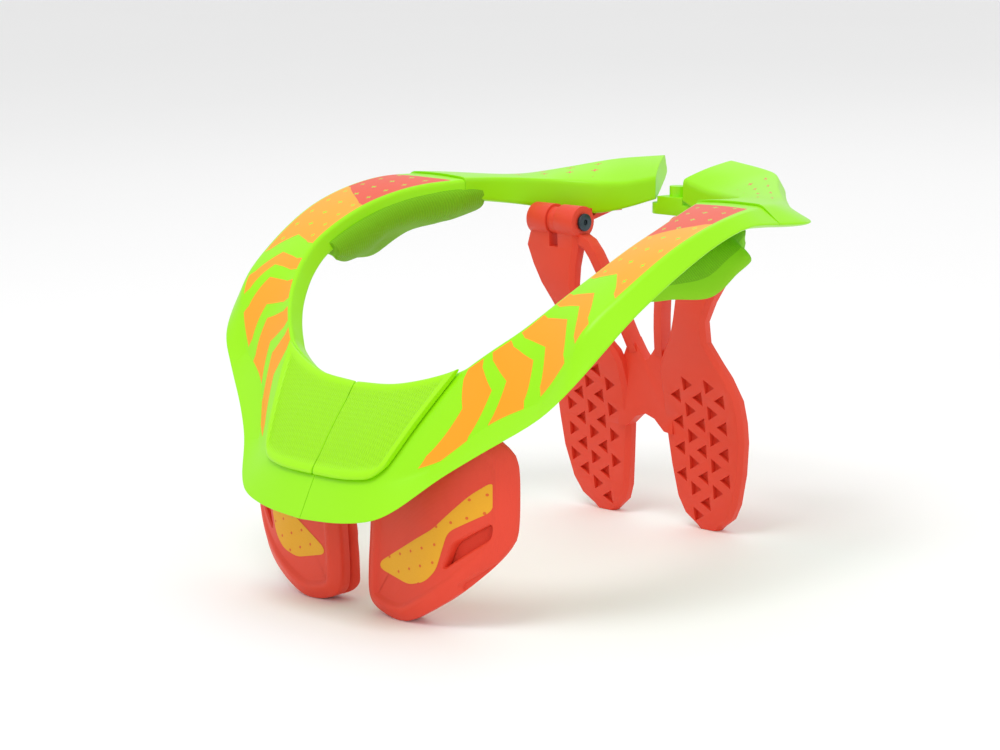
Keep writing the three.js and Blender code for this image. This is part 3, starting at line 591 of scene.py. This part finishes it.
# The insert's back edge and front edge across the face, and how its outer end rounds off
INSERT_BACK = 0.012
INSERT_FRONT = 0.985
ROUND_FROM = 0.8
ROUND_IN = 0.14
ROUND_FLATNESS = 0.96
FIELD_END = 0.9
LOOK_AHEAD = 0.01


def smooth_line(points, t):
    """A point of the centripetal Catmull-Rom curve through points, at a parameter from 0 to 1."""
    last = len(points) - 1
    place = last * min(max(t, 0.0), 1.0)
    i = min(int(place), last - 1)
    w = place - i
    p1, p2 = points[i], points[i + 1]
    p0 = points[i - 1] if i > 0 else 2 * p1 - p2
    p3 = points[i + 2] if i + 2 <= last else 2 * p2 - p1
    d0, d1, d2 = (max(np.linalg.norm(b - a) ** 0.5, 1e-4) for a, b in ((p0, p1), (p1, p2), (p2, p3)))
    start = ((p1 - p0) / d0 - (p2 - p0) / (d0 + d1) + (p2 - p1) / d1) * d1
    end = ((p2 - p1) / d1 - (p3 - p1) / (d1 + d2) + (p3 - p2) / d2) * d1
    square = 3 * (p2 - p1) - 2 * start - end
    cube = 2 * (p1 - p2) + start + end
    return p1 + start * w + square * w**2 + cube * w**3


def collar_lines(rows):
    """The four lines that run along a piece of the collar, with the wall's foot as the base."""
    lines = {"inner": [], "ridge": [], "skirt": [], "base": []}
    for inner, ridge, skirt, lean, *deep in rows:
        angle = math.radians(lean)
        depth = WALL_DEPTH * (deep[0] if deep else 1)
        inner = np.array(inner) * COLLAR
        lines["inner"].append(inner)
        lines["ridge"].append(np.array(ridge) * COLLAR)
        lines["skirt"].append(np.array(skirt) * COLLAR)
        lines["base"].append(inner + depth * np.array([0, math.sin(angle), -math.cos(angle)]))
    return lines


def crown_at(share):
    """The part of the crown's full rise at a share of the way across the top face."""
    return min(1.0, 3 * min(share, 1 - share))


def collar_section(lines, t, lift):
    inner, ridge, skirt, base = (smooth_line(lines[k], t) for k in ("inner", "ridge", "skirt", "base"))
    inner = inner + UP * lift
    ridge = ridge + UP * lift
    hem = skirt + (base - skirt) * HEM_IN - UP * HEM_DROP
    crown = np.array([0, -1, 1]) * CROWN / math.sqrt(2)
    top = [inner + (ridge - inner) * v + crown * crown_at(v) for v in TOP_SHARES]
    side = [ridge + (skirt - ridge) * v for v in SKIRT_SHARES]
    wall = [inner + (base - inner) * v for v in WALL_SHARES]
    return top + side + [hem, (hem + base) / 2] + wall


def collar_piece(node, rows, steps, lift, sign, material, gap_at_start=0.0):
    """A length of the collar as a smooth skin, with the distance along it kept for the prints."""
    lines = collar_lines(rows)
    places = [0.0, END_RING, 1.0] + list(range(2, steps)) + [steps - END_RING, float(steps)]
    points, run, across, top = [], [], [], []
    length = 0.0
    before = None
    for place in places:
        section = np.array(collar_section(lines, place / steps, lift))
        if before is None:
            section[:, 1] += gap_at_start
        section[:, 0] = np.maximum(section[:, 0], JOINT_GAP / 2)
        middle = (section[0] + section[len(TOP_SHARES) - 1]) / 2
        if before is not None:
            length += float(np.linalg.norm(middle - before))
        before = middle
        points.append(section)
        run += [length] * len(section)
        across += SECTION_ACROSS
        top += SECTION_TOP
    grid = placed(np.concatenate(points))
    grid[:, 0] *= sign
    faces = ring_faces(len(places), len(SECTION_TOP))
    piece = new_piece(node + "_skin", grid, faces, material, {"run": run, "across": across, "top": top})
    crease_ends(piece, len(places), len(SECTION_TOP))
    smoothed(piece, SHELL_LEVELS)
    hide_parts(node)
    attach(piece, "root")


def insert_section(front, middle, ribbed):
    """Points of an insert's ring: place across the face, height above it, and whether it is ribbed."""
    return (
        (INSERT_BACK, INSERT_UNDER, 0),
        (INSERT_BACK, INSERT_EDGE, 0),
        (0.03, INSERT_RIM, 0),
        (0.075, INSERT_RIM, 0),
        (0.095, middle, ribbed),
        (0.35, middle, ribbed),
        (0.65, middle, ribbed),
        (front - 0.1, middle, ribbed),
        (front - 0.08, INSERT_RIM, 0),
        (front - 0.025, INSERT_RIM, 0),
        (front, INSERT_EDGE, 0),
        (front, INSERT_UNDER, 0),
        (0.65, INSERT_UNDER, 0),
        (0.35, INSERT_UNDER, 0),
    )


def insert_piece(side, sign, material):
    """The front insert: a thin plate with a raised rim round a ribbed field."""
    lines = collar_lines(ARM_ROWS)
    points, field = [], []
    for share in INSERT_RINGS:
        t = share * INSERT_END
        inner = smooth_line(lines["inner"], t)
        ridge = smooth_line(lines["ridge"], t)
        ahead = smooth_line(lines["inner"], t + LOOK_AHEAD)
        out = np.cross(ridge - inner, ahead - inner)
        out = out / np.linalg.norm(out)
        out = out if out[2] > 0 else -out
        turn = max(0.0, (share - ROUND_FROM) / (1 - ROUND_FROM))
        front = INSERT_FRONT - ROUND_IN * (1 - math.sqrt(1 - ROUND_FLATNESS * turn * turn))
        in_field = share < FIELD_END
        section = insert_section(front, INSERT_FIELD if in_field else INSERT_RIM, float(in_field))
        for v, height, ribbed in section:
            point = inner + (ridge - inner) * v + out * (CROWN * crown_at(v) + height)
            point[0] = max(point[0], JOINT_GAP / 2)
            points.append(point)
            field.append(ribbed)
    grid = placed(points)
    grid[:, 0] *= sign
    faces = ring_faces(len(INSERT_RINGS), len(section))
    piece = new_piece(side + "_insert_skin", grid, faces, material, {"field": field})
    smoothed(piece, INSERT_LEVELS)
    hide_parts(side + "_insert")
    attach(piece, "root")


# The soft pieces: chest liners and shoulder pads

LINER_VOXEL = 1.6
LINER_ROUNDING = 6
LINER_SHRINK = 0.4
PAD_THICKNESS = 5.0
PAD_REACH = 30.0
PAD_STEPS = 60
PAD_INSET = 0.1
# Each row has the place along the arm, or above 1 along the deck; then steps outwards, back and down from the
# wall's foot to the pad's foot, hem and lip, as shares of PAD_REACH; and then how full the pad is.
PAD_ROWS = [
    (0.68, (0.05, 0.1, 0.12), (0.1, 0.12, 0.2), (0.14, 0.06, 0.08), 0.5),
    (0.72, (0.16, 0.22, 0.32), (0.3, 0.2, 0.42), (0.36, 0.17, 0.3), 0.8),
    (0.76, (0.24, 0.26, 0.38), (0.44, 0.24, 0.54), (0.5, 0.22, 0.42), 1),
    (0.84, (0.33, 0.17, 0.33), (0.65, 0.35, 0.73), (0.72, 0.34, 0.6), 1),
    (0.89, (0.38, 0.3, 0.28), (0.82, 0.5, 0.53), (0.88, 0.46, 0.4), 1),
    (0.935, (0.37, 0.47, 0.33), (0.93, 0.5, 0.43), (0.97, 0.44, 0.3), 1),
    (1, (0.47, 0.23, 0.32), (0.85, 0.2, 0.45), (0.88, 0.14, 0.33), 0.9),
    (1.14, (0.33, 0.13, 0.17), (0.5, 0.07, 0.24), (0.5, 0.02, 0.14), 0.5),
]
# The pad's inner face: shares of the way from the wall's foot to the pad's, and of the pad's thickness
PAD_FACE = ((0.15, 1.0), (0.45, 0.95), (0.75, 0.7))
# The pad's cloth below its foot: shares of the way to the hem, and how far each point is raised
PAD_CLOTH = ((0, 0), (0.35, 0), (0.7, 0), (0.82, 0.5), (1, 0))
# A section's points that are on the rim: the last two of the cloth, the next one, and the lip
PAD_RIM_POINTS = (0,) * 8 + (1,) * 4 + (0,) * 2


def foam_liner(side, material):
    """The chest liner, remeshed from its solid, set in a little and swollen."""
    node = side + "_chest_liner"
    piece = copied(node + "_soft", node, material)
    remesh = piece.modifiers.new("remesh", "REMESH")
    remesh.mode = "VOXEL"
    remesh.voxel_size = LINER_VOXEL * MM
    piece.modifiers.new("rounding", "SMOOTH").iterations = LINER_ROUNDING
    kept_result(piece)
    for vertex in piece.data.vertices:
        vertex.co -= vertex.normal * LINER_SHRINK * MM
    piece.data.shade_smooth()
    swollen(piece, node, pressure=3.0, cap=0.6)


def pad_section(row):
    """Points round the pad at a row: down its inner face, out to the hem and lip, and under the skirt."""
    place, foot, hem, lip, full = row
    lines = collar_lines(ARM_ROWS if place <= 1 else DECK_ROWS)
    t = place if place <= 1 else place - 1
    inner, base, skirt = (smooth_line(lines[k], t) for k in ("inner", "base", "skirt"))
    inwards = np.array([0, COLLAR[1] / 2, 0]) - inner * (1, 1, 0)
    inwards /= np.linalg.norm(inwards)
    foot, hem, lip = (base + PAD_REACH * np.array(step) * (1, 1, -1) for step in (foot, hem, lip))
    thick = PAD_THICKNESS * full
    top = inner + (base - inner) * 0.25
    root = base + (skirt - base) * 0.35 - UP
    section = [top + inwards * 0.7, top + inwards * thick * 0.7 - UP]
    section += [base + (foot - base) * v + inwards * thick * w for v, w in PAD_FACE]
    section += [foot + (hem - foot) * v + UP * rise for v, rise in PAD_CLOTH]
    return section + [hem + (lip - hem) * 0.5, lip, lip + (root - lip) * 0.5 + (1, 0, 1), root]


def shoulder_pad(side, sign, material):
    """The padded strip under a shoulder, as a smooth loft a little inside its solid, then swollen."""
    rows = np.array([pad_section(row) for row in PAD_ROWS])
    rings = []
    for step in range(PAD_STEPS + 1):
        rings.append([smooth_line(rows[:, column], step / PAD_STEPS) for column in range(rows.shape[1])])
    points = np.array(rings)
    middles = points.mean(axis=1, keepdims=True)
    away = points - middles
    points = middles + away * (1 - PAD_INSET / np.maximum(np.linalg.norm(away, axis=2, keepdims=True), 1.0))
    grid = placed(points.reshape(-1, 3))
    grid[:, 0] *= sign
    rim = PAD_RIM_POINTS * (PAD_STEPS + 1)
    node = side + "_shoulder_pad"
    faces = ring_faces(PAD_STEPS + 1, rows.shape[1])
    piece = new_piece(node + "_soft", grid, faces, material, {"rim": rim})
    swollen(piece, node, pressure=5.0, cap=1.8)


# The chest plates and their panels

# The plate's place and size, how far it is flat from its inner edge, and how it bends from there
CHEST_INNER = 9.0
CHEST_WIDTH = 77.0
CHEST_HEIGHT = 92.0
CHEST_SINK = 6.0
CHEST_FRONT = 30.0
CHEST_FLAT = 32.0
CHEST_RADIUS = 52.6
# How deep the plate and its sunken field are at the inner edge, and the share of it that is lost at the outer
CHEST_SHELL = 9.0
CHEST_FIELD = 1.8
CHEST_TAPER = 0.6
# The gap left under the arm, and where the plate's edges count as sharp
UNDER_ARM = 0.6
SHARP_FROM = math.radians(35)

# Rings of the plate from the middle of its back, round its edge, to the middle of its field: how far each is
# inside the outline, the share that it then shrinks by, and how far it lies behind the plate's front.
PLATE_RINGS = [(0.6, share, CHEST_SHELL) for share in np.linspace(0.97, 0.0, 12)]
PLATE_RINGS += [(0.1, 0, CHEST_SHELL - 0.4), (0, 0, 6.0), (0, 0, 3.9), (0.3, 0, 3.2), (0.9, 0, 2.7)]
PLATE_RINGS += [(4.4, 0, 0.4), (5.0, 0, 0.1), (5.8, 0, 0.0), (6.6, 0, 0.1), (7.2, 0, 0.5)]
PLATE_RINGS += [(8.2, 0, CHEST_FIELD - 0.2), (8.9, 0, CHEST_FIELD)]
PLATE_RINGS += [(8.9, share, CHEST_FIELD) for share in np.linspace(0.06, 0.98, 18)]
# Rings of a cutter, but for the last: wider in front, so that the edge of the cut is chamfered
CUTTER_RINGS = [(-0.8, 0, -9.0), (-0.8, 0, CHEST_FIELD), (0, 0, CHEST_FIELD + 1.6)]
CUTTER_TAPER = 0.2
WINDOW_DEPTH = CHEST_SHELL + 2
NOTCH_DEPTH = 7.0

# The radius of the outlines' corners and the length of their steps
PLATE_CORNERS, PLATE_STEP = 9.0, 1.5
CUT_CORNERS, CUT_STEP = 2.5, 1.0
PANEL_CORNERS, PANEL_STEP = 3.5, 0.8
# The panel is cut into upright strips that can bend with the plate, and lies this far in front of it
PANEL_STRIPS = np.arange(14.0, 84.0, 2.0)
PANEL_LIFT = 0.12

# Outlines as shares of the chest plate's width and height, from its inner bottom corner
OUTLINE = [
    (0, 0.239),
    (0, 0.076),
    (0.124, 0.022),
    (0.32, 0),
    (0.516, 0.087),
    (0.7, 0.185),
    (0.895, 0.342),
    (0.987, 0.457),
    (1, 0.56),
    (1, 0.815),
    (0.974, 0.891),
    (0.908, 0.951),
    (0.83, 1),
    (0.06, 0.978),
    (0.02, 0.435),
]
WINDOW = [(0.62, 0.308), (0.68, 0.436), (0.89, 0.552), (0.885, 0.475)]
NOTCH = [(0.71, 0.235), (0.76, 0.18), (0.965, 0.35), (0.94, 0.385)]
PANEL = [
    (0.13, 0.285),
    (0.56, 0.5),
    (0.78, 0.68),
    (0.9, 0.755),
    (0.897, 0.61),
    (0.655, 0.495),
    (0.58, 0.3),
    (0.5, 0.235),
    (0.37, 0.205),
    (0.13, 0.25),
]


def chest_outline(shares, radius, step):
    """An outline in millimetres with rounded corners and evenly spaced points, which runs anticlockwise."""
    corners = [np.array([CHEST_INNER + a * CHEST_WIDTH, u * CHEST_HEIGHT - CHEST_SINK]) for a, u in shares]
    area = sum(a[0] * b[1] - b[0] * a[1] for a, b in zip(corners, corners[1:] + corners[:1]))
    if area < 0:
        corners.reverse()
    curve = []
    for i, corner in enumerate(corners):
        ends = []
        for other in (corners[i - 1], corners[(i + 1) % len(corners)]):
            length = np.linalg.norm(other - corner)
            ends.append(corner + (other - corner) * min(radius, 0.48 * length) / length)
        start, end = ends
        for w in np.linspace(0, 1, 7):
            curve.append(start * (1 - w) ** 2 + corner * 2 * w * (1 - w) + end * w * w)
    curve = np.array(curve + curve[:1])
    lengths = np.concatenate([[0], np.cumsum(np.linalg.norm(np.diff(curve, axis=0), axis=1))])
    places = np.linspace(0, lengths[-1], int(lengths[-1] / step), endpoint=False)
    return np.stack([np.interp(places, lengths, curve[:, k]) for k in (0, 1)], axis=1)


def moved_in(outline, distance):
    """An outline moved inwards, square to itself."""
    ahead = np.roll(outline, -1, axis=0) - np.roll(outline, 1, axis=0)
    ahead /= np.linalg.norm(ahead, axis=1, keepdims=True)
    side = np.stack([-ahead[:, 1], ahead[:, 0]], axis=1)
    return outline + side * distance


def chest_depth(x, depth):
    """How far back the plate is at x, at a depth behind its front that shrinks towards its outer edge."""
    bend = max(0.0, x - CHEST_INNER - CHEST_FLAT)
    taper = 1 - CHEST_TAPER * min(max((x - CHEST_INNER) / CHEST_WIDTH, 0.0), 1.0)
    return CHEST_FRONT + bend * bend / (2 * CHEST_RADIUS) + depth * taper


def chest_rings(outline, levels):
    """Rings of an outline at given insets, shrinkings and depths behind the plate's front."""
    middle = outline.mean(axis=0)
    rings = []
    for inset, shrink, depth in levels:
        ring = moved_in(outline, inset)
        ring = ring + (middle - ring) * shrink
        rings += [(x, chest_depth(x, depth), z) for x, z in ring]
    return placed(rings)


def chest_loft(name, outline, levels, material):
    return new_piece(name, chest_rings(outline, levels), ring_faces(len(levels), len(outline)), material)


def cut_from(piece, cutter):
    """Subtracts one piece from another for good."""
    cut = piece.modifiers.new("cut", "BOOLEAN")
    cut.operation = "DIFFERENCE"
    cut.object = cutter
    cut.solver = "EXACT"
    kept_result(piece)
    bpy.data.objects.remove(cutter)


def kept_under(piece, node):
    """Lowers what would reach through the underside of a solid, and raises what would pass the floor."""
    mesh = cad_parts[node].data
    tree = BVHTree.FromPolygons([v.co for v in mesh.vertices], [f.vertices for f in mesh.polygons])
    for vertex in piece.data.vertices:
        x, y, z = vertex.co
        ceiling = tree.ray_cast(Vector((x, y, -0.01)), Vector((0, 0, 1)))[0]
        if ceiling is not None:
            z = min(z, ceiling.z - UNDER_ARM * MM)
        vertex.co.z = max(z, 0.0)


def chest_plate_mesh(material):
    """The left plate: a rim round a sunken field, with a window cut through it and a notch cut into it."""
    piece = chest_loft("plate", chest_outline(OUTLINE, PLATE_CORNERS, PLATE_STEP), PLATE_RINGS, material)
    kept_under(piece, "left_arm")
    for shares, depth in ((WINDOW, WINDOW_DEPTH), (NOTCH, NOTCH_DEPTH)):
        hole = chest_outline(shares, CUT_CORNERS, CUT_STEP)
        cut_from(piece, chest_loft("cutter", hole, CUTTER_RINGS + [(CUTTER_TAPER, 0, depth)], material))
    mesh = piece.data
    bpy.data.objects.remove(piece)
    mesh.shade_smooth()
    mesh.set_sharp_from_angle(angle=SHARP_FROM)
    return mesh


def chest_plate(side, sign, mesh):
    """One side's plate. The right one is the left one mirrored."""
    mesh = mesh.copy()
    if sign < 0:
        mesh.transform(Matrix.Diagonal((-1, 1, 1, 1)))
        mesh.flip_normals()
    piece = linked(side + "_chest_plate_skin", mesh)
    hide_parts(side + "_chest_plate")
    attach(piece, "root")


def panel_piece(side, sign, material):
    """The printed panel as a thin sheet over the plate's curved field."""
    work = bmesh.new()
    outline = chest_outline(PANEL, PANEL_CORNERS, PANEL_STEP)
    work.faces.new([work.verts.new((x, 0, z)) for x, z in outline])
    for x in PANEL_STRIPS:
        geometry = work.verts[:] + work.edges[:] + work.faces[:]
        bmesh.ops.bisect_plane(work, geom=geometry, plane_co=(x, 0, 0), plane_no=(1, 0, 0))
    bmesh.ops.triangulate(work, faces=work.faces)
    for vertex in work.verts:
        x, z = vertex.co.x, vertex.co.z
        vertex.co = Vector(placed((x, chest_depth(x, CHEST_FIELD) - PANEL_LIFT, z)))
        vertex.co.x *= sign
    bmesh.ops.recalc_face_normals(work, faces=work.faces)
    if sum(face.normal.y for face in work.faces) > 0:
        bmesh.ops.reverse_faces(work, faces=work.faces)
    mesh = bpy.data.meshes.new(side + "_chest_panel")
    work.to_mesh(mesh)
    work.free()
    mesh.materials.append(material)
    mesh.shade_smooth()
    piece = linked(side + "_chest_panel", mesh)
    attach(piece, "root")


# The studio, with places and sizes in metres

FLOOR_SIZE = 60
FLOOR_DROP = 0.0002
SKY_LIGHT = 0.84
LAMPS_AIM = Vector((0, 0, 0.1))
# Each lamp's name, place, size and power
LAMPS = (
    ("key", (0.2, -0.8, 2.0), 0.9, 15.0),
    ("side", (1.8, -0.4, 0.9), 1.2, 2.0),
    ("back", (-0.8, 1.2, 1.4), 1.0, 2.0),
)


def make_stage():
    bpy.ops.mesh.primitive_plane_add(size=FLOOR_SIZE, location=(0, 0, -FLOOR_DROP))
    floor = bpy.context.object
    floor.name = "floor"
    shader = Shader("studio_floor")
    cloud, colour = shader.clouds(2.0, *FLOOR_GREYS)
    floor.data.materials.append(shader.finish(colour, 0.7))
    world = bpy.data.worlds.new("studio")
    world.use_nodes = True
    background = world.node_tree.nodes["Background"]
    background.inputs["Color"].default_value = (1, 1, 1, 1)
    background.inputs["Strength"].default_value = SKY_LIGHT
    bpy.context.scene.world = world
    for name, place, size, power in LAMPS:
        data = bpy.data.lights.new(name, "AREA")
        data.size = size
        data.energy = power
        lamp = linked(name, data)
        lamp.location = place
        lamp.rotation_euler = (LAMPS_AIM - Vector(place)).to_track_quat("-Z", "Y").to_euler()


make_camera()
make_stage()

shell = plain_shell()
band = band_shell()
deck = deck_shell()
ribs = ribbed_insert()
fabric = pad_fabric()
foam = liner_foam()
red = red_plastic()
yellow = yellow_panel()
steel = dark_steel()

plate = chest_plate_mesh(red)
for side, sign in (("left", 1.0), ("right", -1.0)):
    collar_piece(side + "_arm", ARM_ROWS, ARM_STEPS, 0.0, sign, band)
    collar_piece(side + "_deck", DECK_ROWS, DECK_STEPS, DECK_STEP, sign, deck, gap_at_start=JOINT_GAP)
    insert_piece(side, sign, ribs)
    panel_piece(side, sign, yellow)
    chest_plate(side, sign, plate)
    dressed(side + "_wing_bracket", red, 0.5)
    dressed(side + "_wing_bolt", steel, 0.3, "wings")
    shoulder_pad(side, sign, fabric)
    foam_liner(side, foam)
dressed("wings", red, 0.6, "wings", flat=0.5)
dressed("hub", shell, 1.0)
